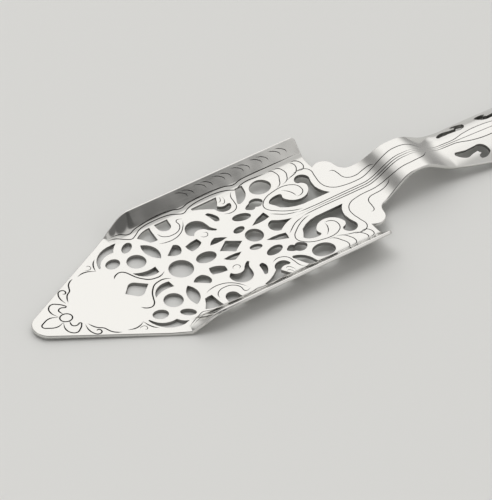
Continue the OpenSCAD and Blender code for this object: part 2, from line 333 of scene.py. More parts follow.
@dataclass(frozen=True)
class Piercing:
    """The pierced pattern, in millimetres on the flat sheet.

    An outline is given by its corners, each with x, y and the bow of the arc that starts there,
    and an oval by x, y, its half axes and its turn in degrees.
    """

    # On the long axis: two diamonds and a heart
    axis: tuple[Path, ...] = (
        (
            (0.4, 0, 0), (-2.2, 2.3, 0.35), (-4.2, 2.3, 0), (-6.4, 0, 0), (-4.2, -2.3, 0.35),
            (-2.2, -2.3, 0),
        ),
        ((28.4, 0, 0), (25.4, 2, 0.3), (24.4, 2, 0), (21.6, 0, 0), (24.4, -2, 0.3), (25.4, -2, 0)),
        ((43.6, 0, -0.3), (38.8, 2.2, 2.1), (38.8, -2.2, -0.3)),
    )
    axis_ovals: Path = ((10.1, 0, 3.2, 3.2), (17.6, 0, 2.8, 1.9), (32.1, 0, 2.4, 2.4))
    # In the tray, on one side of the axis
    side: tuple[Path, ...] = (
        ((1.5, 16.8, 2.3), (-6.9, 11.3, 0.2), (-6.4, 11.3, -1.15), (-0.7, 14.4, -0.2)),
        ((5.2, 4.3, -0.65), (-0.8, 5.3, 1.4), (5, 2.1, 0)),
        ((8, 6, 1.9), (6.3, 12.9, 1.3)),
        ((9.9, 5.9, 0.5), (13, 4.7, 0.4), (14.3, 7.2, 0.3), (13.1, 8.4, 0.1)),
        ((15.4, 6.2, 0.2), (15.9, 3.7, 0.4), (19.6, 5.2, 0.1), (19.3, 7, 0.2)),
        ((20.8, 3, 0.3), (26, 3.2, 0.1), (23.2, 4.8, 0.3)),
        ((33.6, 3.2, 0.3), (39.1, 3.6, 0.1), (38.7, 5.8, 0.3)),
        ((9, 12.3, 0.1), (11.1, 12.1, 0), (11.6, 16.9, 0.4), (7, 15.5, -0.15)),
        ((17, 17, 0), (13.1, 17, 0), (13.3, 15.3, 1.6), (16.9, 15.3, 0)),
        (
            (25.6, 7.3, -0.15), (24.5, 9, 0.1), (24.1, 11.4, 1.7), (18.7, 11.4, 0.2),
            (18.3, 9.3, 0.1), (19.4, 8.2, -0.9), (23, 8.9, 0.2), (25.1, 6.9, 0.1),
        ),
        (
            (27.9, 9.5, 0.25), (28.3, 11.3, 0.15), (27, 13.4, 0.1), (26.1, 13.3, -0.1),
            (26.8, 9.9, 0.15),
        ),
        (
            (31.8, 17, 0), (24.2, 16.9, 0.1), (24.3, 16.3, -0.3), (29.3, 13.6, 0.6),
            (31.5, 11.4, 0.65), (33.8, 13.4, 0.15), (32.9, 13.6, -0.5), (30.4, 14.3, 0.15),
        ),
        ((39.7, 17, 0), (37.6, 17, 0), (35.3, 12.4, 0.2), (35.8, 11.7, 1.2)),
        (
            (41.2, 10, 0.6), (38.6, 11.4, 0.15), (37.6, 10.6, 0.2), (35.7, 9.4, 0.2),
            (36.4, 8.5, 0.55), (38.3, 8.7, 0.5), (40.4, 8.8, 0.2),
        ),
        (
            (57.2, 2.7, -0.4), (55.2, 6.6, -0.2), (56, 10.4, 1.75), (52, 11.2, 0.3),
            (52.5, 9.9, -0.4), (53.9, 8.3, -3), (46, 7.4, -0.1), (46.4, 8.7, 0.2),
            (45.6, 9.3, 0.15), (43.3, 9, 0.25), (41.8, 7.6, -0.1), (43.4, 4.9, 0.45), (49, 2.8, 0),
        ),
    )
    side_ovals: Path = (
        (-3.1, 10.9, 2.05, 1.65, 15), (2.3, 8.4, 2.5, 2.5), (3, 14, 2.05, 1.2, 38),
        (30, 3.8, 1.7, 1, 10), (33.2, 7.4, 2.5, 1.35, -12), (43.45, 14.15, 3.1, 2.5, 8),
    )
    # A hooked opening of the handle, along x from the middle of its motif
    hook: Path = (
        (-11.3, 3.4, -0.3), (-5.2, 3.6, 1.1), (-2, 6.3, 0.4), (-5, 7.2, 0.35), (-5.4, 6.2, -0.1),
        (-4.5, 5.7, 0.25), (-5.3, 5.15, -0.1), (-8.6, 5.85, 0.3), (-11.7, 4.4, 0.3),
    )
    motif_x: float = 103.6

    def hooks(self) -> list[list[Point]]:
        """The two hooked openings of the handle on one side of the long axis.

        Returns:
            Their outlines.
        """
        hook = outline(self.hook)
        mirror = [(self.motif_x - x, y) for x, y in reversed(hook)]
        return [[(self.motif_x + x, y) for x, y in hook], mirror]

    def openings(self) -> list[list[Point]]:
        """All openings of the spoon.

        Returns:
            Those on the axis, those of one side and their mirror images.
        """
        diamond, small_diamond, heart = [outline(corners) for corners in self.axis]
        disc, oblong, small_disc = [oval(*sizes) for sizes in self.axis_ovals]
        half = [outline(corners) for corners in self.side]
        half += [oval(*sizes) for sizes in self.side_ovals] + self.hooks()
        axis = [diamond, disc, oblong, small_diamond, small_disc, heart]
        return axis + half + [mirrored(points) for points in half]


@dataclass(frozen=True)
class Stroke:
    """One line struck into the sheet, through points in millimetres on the flat blank."""

    points: Path
    width: float
    closed: bool = False


def lines(paths: tuple[Path, ...], width: float) -> list[Stroke]:
    """Struck lines of one width."""
    return [Stroke(path, width) for path in paths]


@dataclass(frozen=True)
class Ornament:
    """The struck lines, in millimetres: those on the long axis and those on one side of it."""

    plain: float = 0.34
    bold: float = 0.44
    fine: float = 0.29
    # Along the axis, over the neck and then the handle
    spine: Path = ((44.8, 0), (60, 0), (75, 0), (84.5, 0))
    grip_spine: Path = ((86, 0), (91, 0), (95, 0), (103.6, 0), (112.6, 0), (120, 0))
    # Ring near the tip, as an oval, and the drop in front of it
    tip_ring: Point = (-23.5, 0, 1.6, 1.4)
    ring_points: int = 12
    tip_drop: Path = (
        (-25, 1.1), (-27, 1.8), (-29, 1.2), (-30.3, 0), (-29, -1.2), (-27, -1.8), (-25, -1.1),
    )
    # Ribs and long petals that run over the bridge
    neck: tuple[Path, ...] = (
        ((46, 0.95), (48.5, 0.75), (60, 0.75), (75, 0.75), (83.5, 0.7)),
        (
            (86, 0.65), (91, 0.65), (94.8, 0.75), (98.5, 1.7), (103.6, 2.2), (108.7, 1.7),
            (112.4, 0.75), (116, 0.3),
        ),
        (
            (53, 13.6), (54.8, 14), (56.5, 13.9), (57.8, 12.5), (57.5, 10), (57.1, 7), (57.5, 5.2),
            (59, 3.6), (61.5, 2.8), (65, 2.5), (70, 2.8), (74, 3.2), (79, 3.4), (82.5, 2.6),
            (84.6, 0.9),
        ),
        (
            (61.4, 9.4), (62.5, 9.1), (63, 7.5), (63.3, 5.6), (64.3, 4.6), (66, 4.25), (69, 4.4),
            (70.6, 4), (71.3, 3.3),
        ),
    )
    # Straps, lobes and acanthus lines about the large C-scrolls
    back: tuple[Path, ...] = (
        ((46.3, 1.1), (44.6, 1.5), (43, 2.1), (41, 3.5), (39.8, 4.4)),
        (
            (48, 1.45), (46.2, 1.9), (44.2, 2.8), (42, 4.3), (40.3, 6), (40, 7.4), (40.9, 8.9),
            (43, 10.3), (45.3, 10.9), (47.3, 11.2), (49, 11.1), (50.6, 10.5), (51.6, 9.6),
            (52, 8.3), (51.7, 6.9), (50.6, 6.1), (49.2, 6),
        ),
        ((47.2, 10.2), (48.5, 8.9), (49.2, 7.4), (49.3, 6.2)),
        (
            (46.6, 11.4), (48.2, 12.2), (49.2, 13.8), (49.9, 15.4), (49.6, 16.6), (49, 17.3),
            (47.9, 17.4),
        ),
        (
            (48.8, 11.7), (50.7, 12.6), (51.6, 13.9), (52.1, 15.2), (51.9, 16.3), (51.2, 17.1),
            (49.4, 17.5),
        ),
        (
            (50.6, 12.5), (52.4, 13.1), (54, 13.6), (55.1, 14.7), (55.6, 15.9), (55.3, 16.8),
            (54.5, 17.35),
        ),
        (
            (54.6, 14), (56.4, 13.8), (57.2, 14.5), (57.5, 15.5), (57.2, 16.5), (56.3, 17.2),
            (54.9, 17.4),
        ),
    )
    # Bands and arcs between the openings along the folds, and the fine veins there
    folds: tuple[Path, ...] = (
        (
            (0.4, 18.6), (2, 18), (4.3, 16.7), (5.9, 16), (7.2, 16.5), (8.8, 17.4), (10.8, 17.9),
            (13.5, 18.05), (16.4, 18), (18.5, 17.7), (20.2, 17.1), (21.8, 16.65), (23.4, 17.3),
            (25.3, 17.8), (28.5, 18.05), (32.2, 18), (34.4, 17.7), (36.2, 17.2), (37.7, 16.7),
            (39.2, 17.2), (41.5, 17.6), (44.5, 17.5), (47.2, 17.4),
        ),
        (
            (1, 18.95), (3.4, 18.5), (5.9, 17.5), (7.8, 18.1), (10.2, 18.45), (13.5, 18.85),
            (16.5, 18.9), (19.4, 18.6), (21.8, 18.1), (24.2, 18.6), (27.5, 18.85), (33, 18.85),
            (35.4, 18.6), (37.7, 18.1), (40, 18.55), (43.5, 18.7), (50, 18.7), (57.8, 18.7),
        ),
        (
            (12.2, 14.1), (12.4, 13), (13.6, 11.9), (15.4, 11.6), (17.3, 12.1), (18.6, 13.6),
            (18.9, 15.6), (20.6, 15.3),
        ),
        ((10.4, 10.8), (12.2, 10.2), (14.6, 10.1), (17, 10.9), (19, 12.7), (20.2, 14.6)),
        (
            (30.2, 10.9), (31.6, 10.3), (33, 10.4), (34.4, 11.4), (34.9, 13.2), (35.3, 15.4),
            (36.2, 16.7),
        ),
    )
    veins: tuple[Path, ...] = (
        ((31.6, 14.6), (32.3, 14.2), (33.1, 14.9), (33.5, 16.6)),
        ((31.3, 15.4), (31.9, 15.3), (32.5, 16), (32.6, 16.9)),
        ((20.6, 7.6), (21.2, 6.6), (22.4, 6.6), (22.7, 7.6), (21.9, 8)),
    )
    # Petals and scrolls along the pointed front, a small curl there and the tip's scroll
    front: tuple[Path, ...] = (
        (
            (-5.7, 6.1), (-5.1, 6.8), (-4.2, 7.3), (-3.2, 7.4), (-2.2, 6.7), (-1.4, 5), (-0.7, 3.5),
            (0.3, 2.2), (1.4, 1.2), (2.8, 0.75), (4.4, 0.7), (6.1, 1.5),
        ),
        ((-8.1, 10.9), (-7.7, 12.5), (-7, 13.8), (-6, 14.8)),
        (
            (-20.8, 4.5), (-21.1, 6.5), (-20.7, 8.2), (-20, 9), (-19, 9), (-18.6, 8.3),
            (-19.1, 7.6), (-19.7, 7.9),
        ),
        (
            (-20.1, 4.5), (-19.6, 5.8), (-18.8, 7), (-17.6, 7.9), (-17.1, 9), (-16.6, 10),
            (-15.6, 10.9), (-14.6, 11.4),
        ),
        ((-13, 11.5), (-11.5, 11.9), (-10, 11.8), (-8.1, 10.9)),
    )
    curl: Path = (
        (-10.4, 12.7), (-9.5, 12.2), (-8.6, 12.4), (-8.4, 13.1), (-8.8, 13.6), (-9.4, 13.4),
    )
    tip_scroll: Path = (
        (-25, 1.2), (-25.8, 3.4), (-25.3, 5.2), (-24, 5.9), (-22.8, 5.3), (-21.7, 4.2),
        (-21.4, 3.4), (-22.8, 3.7), (-23.7, 3.2), (-23.7, 2.4), (-23.4, 1.4),
    )
    # Pairs of leaf arcs on the inner face of the folded sides, along x from an arc's end
    leaf: Path = ((-3.3, 22.2), (-1.9, 21.9), (-0.7, 21.3), (-0.1, 20.7), (0, 19.9))
    leaf_x: float = 24.9
    leaf_step: float = 5.7
    leaf_gap: float = 1.95
    leaf_pairs: int = 6

    def leaves(self) -> list[Stroke]:
        """Leaf arcs of one side, in pairs."""
        ends = [
            self.leaf_x + self.leaf_step * pair + gap
            for pair in range(self.leaf_pairs) for gap in (0.0, self.leaf_gap)
        ]
        return [Stroke(tuple((end + x, y) for x, y in self.leaf), self.fine) for end in ends]

    def strokes(self) -> list[Stroke]:
        """All struck lines of the spoon.

        Returns:
            Those on the axis, those of one side and their mirror images.
        """
        ring = tuple(oval(*self.tip_ring, count=self.ring_points))
        on_axis = [
            Stroke(self.spine, self.plain), Stroke(self.grip_spine, self.fine),
            Stroke(ring, self.bold, closed=True), Stroke(self.tip_drop, self.bold),
        ]
        half = lines(self.neck + self.back + self.folds, self.plain)
        half += lines(self.veins, self.fine) + lines(self.front, self.bold)
        half += [Stroke(self.curl, self.fine), Stroke(self.tip_scroll, self.bold)] + self.leaves()
        other = [Stroke(tuple((x, -y) for x, y in s.points), s.width, s.closed) for s in half]
        return on_axis + half + other


@dataclass(frozen=True)
class StrikingTool:
    """A diamond-shaped bar along a line, whose lower edge strikes a V into the sheet.

    It is narrower at the line's ends, and its middle is held above the face, in millimetres.
    """

    half_share: float = 0.62
    tip_share: float = 0.45
    height_share: float = 0.8
    held_above: float = 0.06
    steps: int = 5
    weld: float = 1e-5

    def bar(self, stroke: Stroke, face_z: float, name: str) -> Object:
        """Closed bar along a stroke, in place to be cut out of the sheet.

        Args:
            stroke: the line to strike.
            face_z: height of the face that is struck.
            name: the bar's name.

        Returns:
            The bar.
        """
        curve = bpy.data.curves.new(name, "CURVE")
        curve.dimensions = "3D"
        curve.resolution_u = self.steps
        curve.bevel_depth = 1.0
        curve.bevel_resolution = 0
        curve.use_fill_caps = True
        spline = curve.splines.new("BEZIER")
        last = len(stroke.points) - 1
        spline.bezier_points.add(last)
        spline.use_cyclic_u = stroke.closed
        for i, (point, (x, y)) in enumerate(zip(spline.bezier_points, stroke.points)):
            tapered = not stroke.closed and i in (0, last)
            point.co = (x, y, 0)
            point.handle_left_type = point.handle_right_type = "AUTO"
            point.radius = stroke.width * (self.tip_share if tapered else 1.0) * self.half_share
        drawn = bpy.data.objects.new(name, curve)
        bpy.context.scene.collection.objects.link(drawn)
        mesh = worked_out(drawn)
        bpy.data.objects.remove(drawn)
        bm = bmesh.new()
        bm.from_mesh(mesh)
        bpy.data.meshes.remove(mesh)
        bmesh.ops.remove_doubles(bm, verts=bm.verts[:], dist=self.weld)
        bmesh.ops.scale(bm, vec=(1, 1, self.height_share), verts=bm.verts[:])
        bmesh.ops.translate(bm, vec=(0, 0, face_z + self.held_above), verts=bm.verts[:])
        bmesh.ops.recalc_face_normals(bm, faces=bm.faces[:])
        return to_object(bm, name)


@dataclass(frozen=True)
class Scoring:
    """Lines scored over the flat sheet where it bends, so that the bends come out round.

    Lengths are in millimetres. The margin is how far lines run past the stretch that they serve.
    """

    rise_step: float = 0.5
    tip_step: float = 0.4
    neck_in: float = 0.4
    neck_step: float = 0.5
    grip_in: float = 0.8
    grip_step: float = 1.0
    fold_step: float = 0.345
    crown_reach: float = 10.2
    crown_step: float = 0.6
    margin: float = 0.2

    def score(self, bm: BMesh, form: SheetForm) -> None:
        """Scores the sheet across, and along its folds and its crown.

        Args:
            bm: the flat sheet.
            form: the sheet's sizes.
        """
        across = np.concatenate([
            np.arange(0.0, form.side_rise + self.rise_step + self.margin, self.rise_step),
            self.tip_step * np.arange(-1, 2) - form.tip_bend,
            np.arange(form.collar_end + self.neck_in, form.grip_x + self.margin, self.neck_step),
            np.arange(form.grip_x + self.grip_in, form.end_x - self.margin, self.grip_step),
        ])
        for x in across.tolist():
            bisect(bm, Run.ACROSS, x, bm.faces[:])
        fold_end = form.floor_half + form.side_r * math.radians(form.side_deg) + self.margin
        for y in np.arange(form.floor_half, fold_end, self.fold_step).tolist():
            for side in (-1, 1):
                tray = faces_between(bm, -self.margin, form.tray_len + self.margin)
                bisect(bm, Run.ALONG, side * y, tray)
        crown_end = self.crown_reach + self.margin
        for y in np.arange(-self.crown_reach, crown_end, self.crown_step).tolist():
            bisect(bm, Run.ALONG, y, faces_between(bm, form.fall_x - self.margin, form.end_x))


@dataclass(frozen=True)
class Blank:
    """The flat sheet before forming: cut out, pierced and struck. Lengths are in millimetres."""

    form: SheetForm
    piercing: Piercing
    ornament: Ornament
    tool: StrikingTool = StrikingTool()
    edge_round: float = 0.42
    edge_steps: int = 4
    hole_round: float = 0.1
    hole_steps: int = 2
    polish: float = 0.01
    punch_past: float = 1.0
    front_steps: int = 12
    rise_steps: int = 14
    corner_steps: int = 6
    handle_step: float = 0.7
    end_steps: int = 30
    end_deg: float = 86.8
    # Largest upright part of a wall's normal, and least one of a face's
    wall_tilt: float = 0.05
    face_tilt: float = 0.95

    def tray_edge(self) -> list[Point]:
        """Edge of the tip, the side and the collar on the +y side.

        Returns:
            Its points; the front's straight edge lies between the tip's and the side's.
        """
        f = self.form
        shares = [i / self.front_steps for i in range(1, self.front_steps + 1)]
        turns = [math.radians((90 - f.front_deg) * share) for share in shares]
        front = [(f.tip_x - f.tip_r * math.cos(t), f.tip_r * math.sin(t)) for t in turns]
        rise = [f.side_rise * i / self.rise_steps for i in range(self.rise_steps + 1)]
        turns = [math.radians(90 * i / self.corner_steps) for i in range(self.corner_steps)]
        corner = [f.tray_len - f.rim_corner + f.rim_corner * math.sin(t) for t in turns]
        side = [(x, f.floor_half + f.side_width(x)) for x in rise + corner + [f.tray_len]]
        collar = outline((
            (f.tray_len, -f.collar_half, f.scallop_bow),
            (f.collar_end - f.notch_len, -(f.collar_half + f.neck_half) / 2, -f.notch_bow),
            (f.collar_end, -f.neck_half, 0),
        ))
        return front + side + [(x, -y) for x, y in collar[:-1]]

    def handle_edge(self) -> list[Point]:
        """Edge of the neck and the handle on the +y side.

        Returns:
            Its points.
        """
        f = self.form
        turns = np.radians(np.linspace(0, self.end_deg, self.end_steps))
        straight = np.arange(f.collar_end, f.end_x - f.end_len, self.handle_step)
        xs = np.concatenate([straight, f.end_x - f.end_len + f.end_len * np.sin(turns)])
        return [(float(x), float(w)) for x, w in zip(xs, f.half_width(xs))]

    def sheet(self) -> Object:
        """Cuts the blank out of sheet and rounds its edges.

        Returns:
            The blank, thinner by the polish that is taken off each face.
        """
        f = self.form
        half = self.tray_edge() + self.handle_edge()
        points = [(f.tip_x - f.tip_r, 0.0)] + half + mirrored(half)
        bm = bmesh.new()
        prism(bm, points, self.polish, f.sheet - self.polish)
        bmesh.ops.recalc_face_normals(bm, faces=bm.faces[:])
        rim = [e for e in bm.edges if abs(e.verts[0].co.z - e.verts[1].co.z) < WELD]
        rounded(bm, rim, self.edge_round, self.edge_steps)
        return to_object(bm, "blank")

    def pierced(self, sheet: Object, sheared: Material) -> None:
        """Punches the openings through the sheet and eases their edges.

        Args:
            sheet: the blank, whose mesh is changed.
            sheared: the finish of the openings' walls.
        """
        bm = bmesh.new()
        for points in self.piercing.openings():
            prism(bm, points, -self.punch_past, self.form.sheet + self.punch_past)
        bmesh.ops.recalc_face_normals(bm, faces=bm.faces[:])
        punch = to_object(bm, "punch")
        punch.data.materials.append(sheared)
        cut(sheet, [punch], Solver.APART)
        self.eased(sheet)

    def eased(self, sheet: Object) -> None:
        """Rounds the sharp rims that the punches leave on both faces.

        Args:
            sheet: the pierced blank, whose mesh is changed.
        """
        bm = bmesh.new()
        bm.from_mesh(sheet.data)
        bmesh.ops.remove_doubles(bm, verts=bm.verts[:], dist=WELD)
        rims = []
        for edge in bm.edges:
            tilts = sorted(abs(face.normal.z) for face in edge.link_faces)
            if len(tilts) == 2 and tilts[0] < self.wall_tilt and tilts[1] > self.face_tilt:
                rims.append(edge)
        rounded(bm, rims, self.hole_round, self.hole_steps)
        bm.to_mesh(sheet.data)
        bm.free()

    def struck(self, sheet: Object, recess: Material) -> None:
        """Strikes the ornament into the upper face with tapered, V-shaped lines.

        Args:
            sheet: the pierced blank, whose mesh is changed.
            recess: the material of the struck lines, dark with painted shade.
        """
        bars = []
        for number, stroke in enumerate(self.ornament.strokes()):
            bar = self.tool.bar(stroke, self.form.sheet, f"struck_{number}")
            bar.data.materials.append(recess)
            bars.append(bar)
        cut(sheet, bars, Solver.CROSSING)


def to_object(bm: BMesh, name: str) -> Object:
    """Makes an object in the scene of a bmesh and frees the bmesh.

    Args:
        bm: the shape.
        name: the name of the object and its mesh.

    Returns:
        The object, at the origin.
    """
    mesh = bpy.data.meshes.new(name)
    bm.to_mesh(mesh)
    bm.free()
    piece = bpy.data.objects.new(name, mesh)
    bpy.context.scene.collection.objects.link(piece)
    return piece


def worked_out(piece: Object) -> Mesh:
    """A new mesh of the piece with its curve or its modifiers worked out."""
    depsgraph = bpy.context.evaluated_depsgraph_get()
    return bpy.data.meshes.new_from_object(piece.evaluated_get(depsgraph))


def prism(bm: BMesh, points: list[Point], bottom: float, top: float) -> None:
    """Adds a closed, upright prism over an outline.

    Args:
        bm: the shape that gets it.
        points: the outline.
        bottom: the prism's lower height.
        top: its upper height.
    """
    face = bm.faces.new([bm.verts.new((x, y, bottom)) for x, y in points])
    walls = bmesh.ops.extrude_face_region(bm, geom=[face])
    lifted = [v for v in walls["geom"] if isinstance(v, BMVert)]
    bmesh.ops.translate(bm, verts=lifted, vec=(0, 0, top - bottom))


def rounded(bm: BMesh, edges: list[BMEdge], radius: float, steps: int) -> None:
    """Rounds edges in a number of facets, up to the radius on either side."""
    bmesh.ops.bevel(
        bm, geom=edges, offset=radius, offset_type="OFFSET", segments=steps, profile=0.5,
        affect="EDGES", material=-1, clamp_overlap=True,
    )


def cut(target: Object, tools: list[Object], solver: Solver) -> None:
    """Cuts tools out of the target, keeps their finish on the cut faces and removes them.

    Args:
        target: the piece that is cut, whose mesh is replaced.
        tools: closed pieces.
        solver: how the tools meet one another.
    """
    box = bpy.data.collections.new("tools")
    bpy.context.scene.collection.children.link(box)
    for tool in tools:
        box.objects.link(tool)
    step = target.modifiers.new("cut", "BOOLEAN")
    step.operation = "DIFFERENCE"
    step.operand_type = "COLLECTION"
    step.collection = box
    step.solver = solver.value
    step.material_mode = "TRANSFER"
    result = worked_out(target)
    target.modifiers.clear()
    old, target.data = target.data, result
    bpy.data.meshes.remove(old)
    for tool in tools:
        bpy.data.objects.remove(tool)
    bpy.data.collections.remove(box)


def faces_between(bm: BMesh, low: float, high: float) -> list[BMFace]:
    """Faces whose middle lies between two places along the sheet."""
    return [face for face in bm.faces if low < face.calc_center_bounds().x < high]


def bisect(bm: BMesh, run: Run, at: float, faces: list[BMFace]) -> None:
    """Scores faces along one straight line.

    Args:
        bm: the flat sheet.
        run: the way in which the line runs.
        at: its distance from the shoulders or from the axis.
        faces: the faces that are scored.
    """
    edges = {e for f in faces for e in f.edges}
    verts = {v for e in edges for v in e.verts}
    square = Vector(run.value)
    bmesh.ops.bisect_plane(
        bm, geom=faces + list(edges) + list(verts), dist=WELD, plane_co=square * at,
        plane_no=square,
    )


def values_of(items: bpy_prop_collection, name: str) -> np.ndarray:
    """The value or the vector of each item of a mesh collection."""
    return np.array([getattr(item, name) for item in items])


def linear(code: str) -> tuple[float, float, float, float]:
    """Linear colour of an sRGB hex value such as C8C8C6."""
    parts = [int(code[i : i + 2], 16) / 255 for i in (0, 2, 4)]
    return (*[c / 12.92 if c <= 0.04045 else ((c + 0.055) / 1.055) ** 2.4 for c in parts], 1.0)


def add(
    tree: NodeTree,
    kind: str,
    settings: dict[str, object] | None = None,
    values: Values | None = None,
    links: Links | None = None,
) -> Node:
    """Adds a node.

    Args:
        tree: the nodes that it joins.
        kind: its type.
        settings: its properties, by name.
        values: constant values of its inputs.
        links: sockets that feed its inputs.

    Returns:
        The node.
    """
    node = tree.nodes.new(kind)
    for key, value in (settings or {}).items():
        setattr(node, key, value)
    for key, value in (values or {}).items():
        node.inputs[key].default_value = value
    for key, socket in (links or {}).items():
        tree.links.new(socket, node.inputs[key])
    return node


def new_material(name: str) -> tuple[Material, NodeTree]:
    """Makes an empty node material.

    Args:
        name: its name.

    Returns:
        The material and its nodes.
    """
    material = bpy.data.materials.new(name)
    material.use_nodes = True
    material.node_tree.nodes.clear()
    return material, material.node_tree


def noise(
    tree: NodeTree, place: NodeSocket, size_mm: float, detail: float, roughness: float = 0.5
) -> NodeSocket:
    """Adds noise whose patches have a size in millimetres, with finer layers as its detail."""
    values = {"Scale": 1 / (size_mm * MM), "Detail": detail, "Roughness": roughness}
    return add(tree, "ShaderNodeTexNoise", values=values, links={"Vector": place}).outputs["Fac"]


def stretched(tree: NodeTree, place: NodeSocket, scale: Place) -> NodeSocket:
    """Coordinates scaled along each axis, where less than 1 draws a pattern out."""
    links = {"Vector": place}
    return add(tree, "ShaderNodeMapping", values={"Scale": scale}, links=links).outputs[0]


def relief(tree: NodeTree, links: Links, strength: float, depth_mm: float) -> NodeSocket:
    """Adds a relief, with a share of its depth, to the shading of a surface."""
    values = {"Strength": strength, "Distance": depth_mm * MM}
    return add(tree, "ShaderNodeBump", values=values, links=links).outputs[0]


def surface(tree: NodeTree, values: Values, links: Links | None = None) -> None:
    """Adds the surface of a material and joins it to the output."""
    shader = add(tree, "ShaderNodeBsdfPrincipled", values=values, links=links)
    add(tree, "ShaderNodeOutputMaterial", links={"Surface": shader.outputs[0]})


# Stainless steel sheet, blanked and mirror polished on a wheel
@dataclass(frozen=True)
class PolishedSteel:
    """Bright, near mirror steel with hairlines along the spoon.

    Its reflections soften a little in patches and wave very slightly, as on thin sheet.
    """

    colour: str = "D6D5D2"
    roughness_low: float = 0.07
    roughness_high: float = 0.15
    hairline_mm: float = 0.35
    hairline_stretch: float = 0.04
    hairline_share: float = 0.35
    hairline_depth_mm: float = 0.004
    hairline_strength: float = 0.1
    haze_mm: float = 14.0
    haze_roughness: float = 0.6
    haze_low: float = 0.35
    haze_high: float = 1.05
    wave_mm: float = 9.0
    wave_depth_mm: float = 0.06
    wave_strength: float = 0.8

    def material(self) -> Material:
        """Builds the finish from noise on object coordinates.

        Returns:
            The material.
        """
        material, tree = new_material("polished_stainless_steel")
        place = add(tree, "ShaderNodeTexCoord").outputs["Object"]
        along = stretched(tree, place, (self.hairline_stretch, 1.0, 1.0))
        hair = noise(tree, along, self.hairline_mm, detail=2.0)
        haze = noise(tree, place, self.haze_mm, detail=4.0, roughness=self.haze_roughness)
        mixed = add(
            tree, "ShaderNodeMath", {"operation": "MULTIPLY_ADD"}, {1: self.hairline_share},
            {0: hair, 2: haze},
        )
        edges = {
            "From Min": self.haze_low, "From Max": self.haze_high,
            "To Min": self.roughness_low, "To Max": self.roughness_high,
        }
        rough = add(tree, "ShaderNodeMapRange", values=edges, links={"Value": mixed.outputs[0]})
        wave = noise(tree, place, self.wave_mm, detail=1.0)
        low = relief(tree, {"Height": wave}, self.wave_strength, self.wave_depth_mm)
        both = {"Height": hair, "Normal": low}
        fine = relief(tree, both, self.hairline_strength, self.hairline_depth_mm)
        surface(
            tree, {"Base Color": linear(self.colour), "Metallic": 1.0},
            {"Roughness": rough.outputs[0], "Normal": fine},
        )
        return material


# Stainless steel as the punch shears it, which the polishing wheel doesn't reach
@dataclass(frozen=True)
class ShearedSteel:
    """Grey walls of the openings, streaked across the thickness of the sheet."""

    colour: str = "8E8D8A"
    roughness: float = 0.38
    streak_mm: float = 0.2
    streak_stretch: float = 0.1
    streak_depth_mm: float = 0.01
    streak_strength: float = 0.3

    def material(self) -> Material:
        """Builds the finish from noise drawn out upwards.

        Returns:
            The material.
        """
        material, tree = new_material("sheared_steel_edge")
        place = add(tree, "ShaderNodeTexCoord").outputs["Object"]
        across = stretched(tree, place, (1.0, 1.0, self.streak_stretch))
        streak = noise(tree, across, self.streak_mm, detail=1.0)
        normal = relief(tree, {"Height": streak}, self.streak_strength, self.streak_depth_mm)
        values = {"Base Color": linear(self.colour), "Metallic": 1.0, "Roughness": self.roughness}
        surface(tree, values, {"Normal": normal})
        return material


# Steel struck by a die; the lines' dark colour is painted shade, for the shade and dark reflections
# in the grooves
@dataclass(frozen=True)
class StruckLineShade:
    """Dark bottoms of the struck lines, painted in as the shade in the grooves."""

    # Painted shade: these dark tones stand in for the shade and dark reflections in the struck
    # lines
    dark: str = "1B1A19"
    light: str = "3B3936"
    roughness: float = 0.55
    metallic: float = 0.7
    grain_mm: float = 0.5

    def material(self) -> Material:
        """Builds the painted shade from two dark tones in fine grains.

        Returns:
            The material.
        """
        material, tree = new_material("struck_line_painted_shade")
        place = add(tree, "ShaderNodeTexCoord").outputs["Object"]
        grain = noise(tree, place, self.grain_mm, detail=3.0)
        tone = add(
            tree, "ShaderNodeMix", {"data_type": "RGBA"},
            {6: linear(self.dark), 7: linear(self.light)}, {0: grain},
        )
        values = {"Metallic": self.metallic, "Roughness": self.roughness}
        surface(tree, values, {"Base Color": tone.outputs[2]})
        return material


